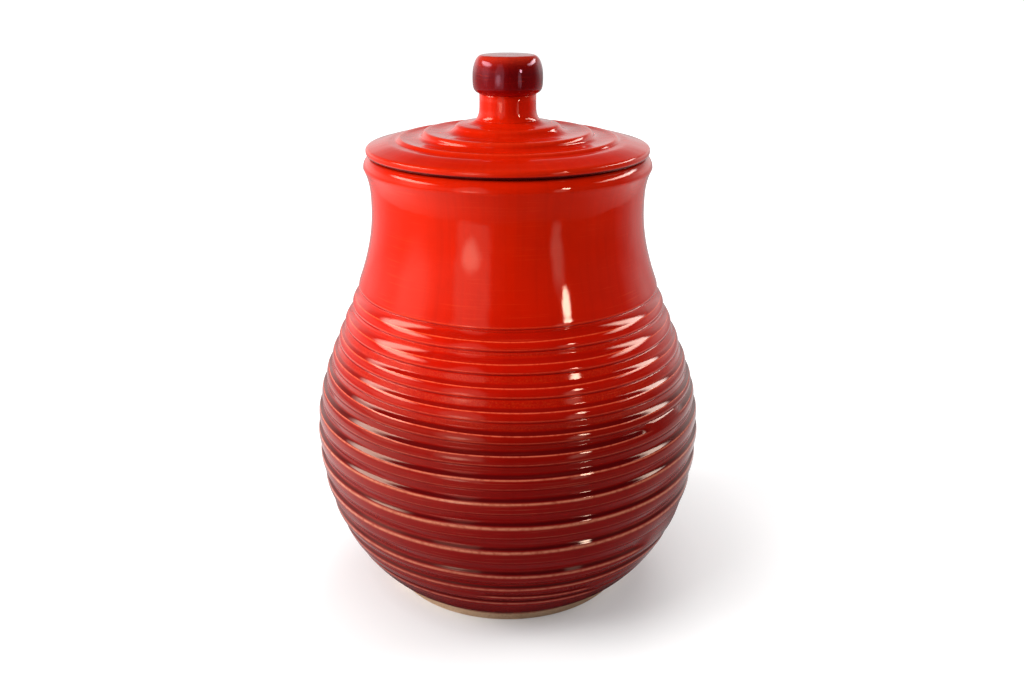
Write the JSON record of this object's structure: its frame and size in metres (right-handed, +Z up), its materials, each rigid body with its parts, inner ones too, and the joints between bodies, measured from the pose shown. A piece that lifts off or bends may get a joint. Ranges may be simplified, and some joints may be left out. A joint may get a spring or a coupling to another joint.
{
  "type": "biscuit jar",
  "caption": "Pot-bellied glazed stoneware jar with a ringed belly, a smooth neck and a loose stepped lid with a knob, for keeping biscuits.",
  "frame": {"origin": "on the table, at the middle of the foot ring", "axes": "+Z up along the turning axis of the pot, which is the same all round; -Y faces the viewer"},
  "size_m": [0.1858, 0.1857, 0.2518],
  "materials": {
    "red_glaze": "gloss",
    "oxblood_glaze": "gloss",
    "bare_clay": "matte"
  },
  "bodies": {
    "jar": {"jar_body": "red_glaze", "foot_ring": "bare_clay"},
    "lid": {"lid_plate": "red_glaze", "lid_flange": "bare_clay", "knob_stem": "red_glaze", "knob_cap": "oxblood_glaze"}
  },
  "joints": [
    {"name": "lid_lift", "type": "slide", "parent": "jar", "child": "lid", "axis": [0, 0, 1], "range_m": [0, 0.12]}
  ]
}
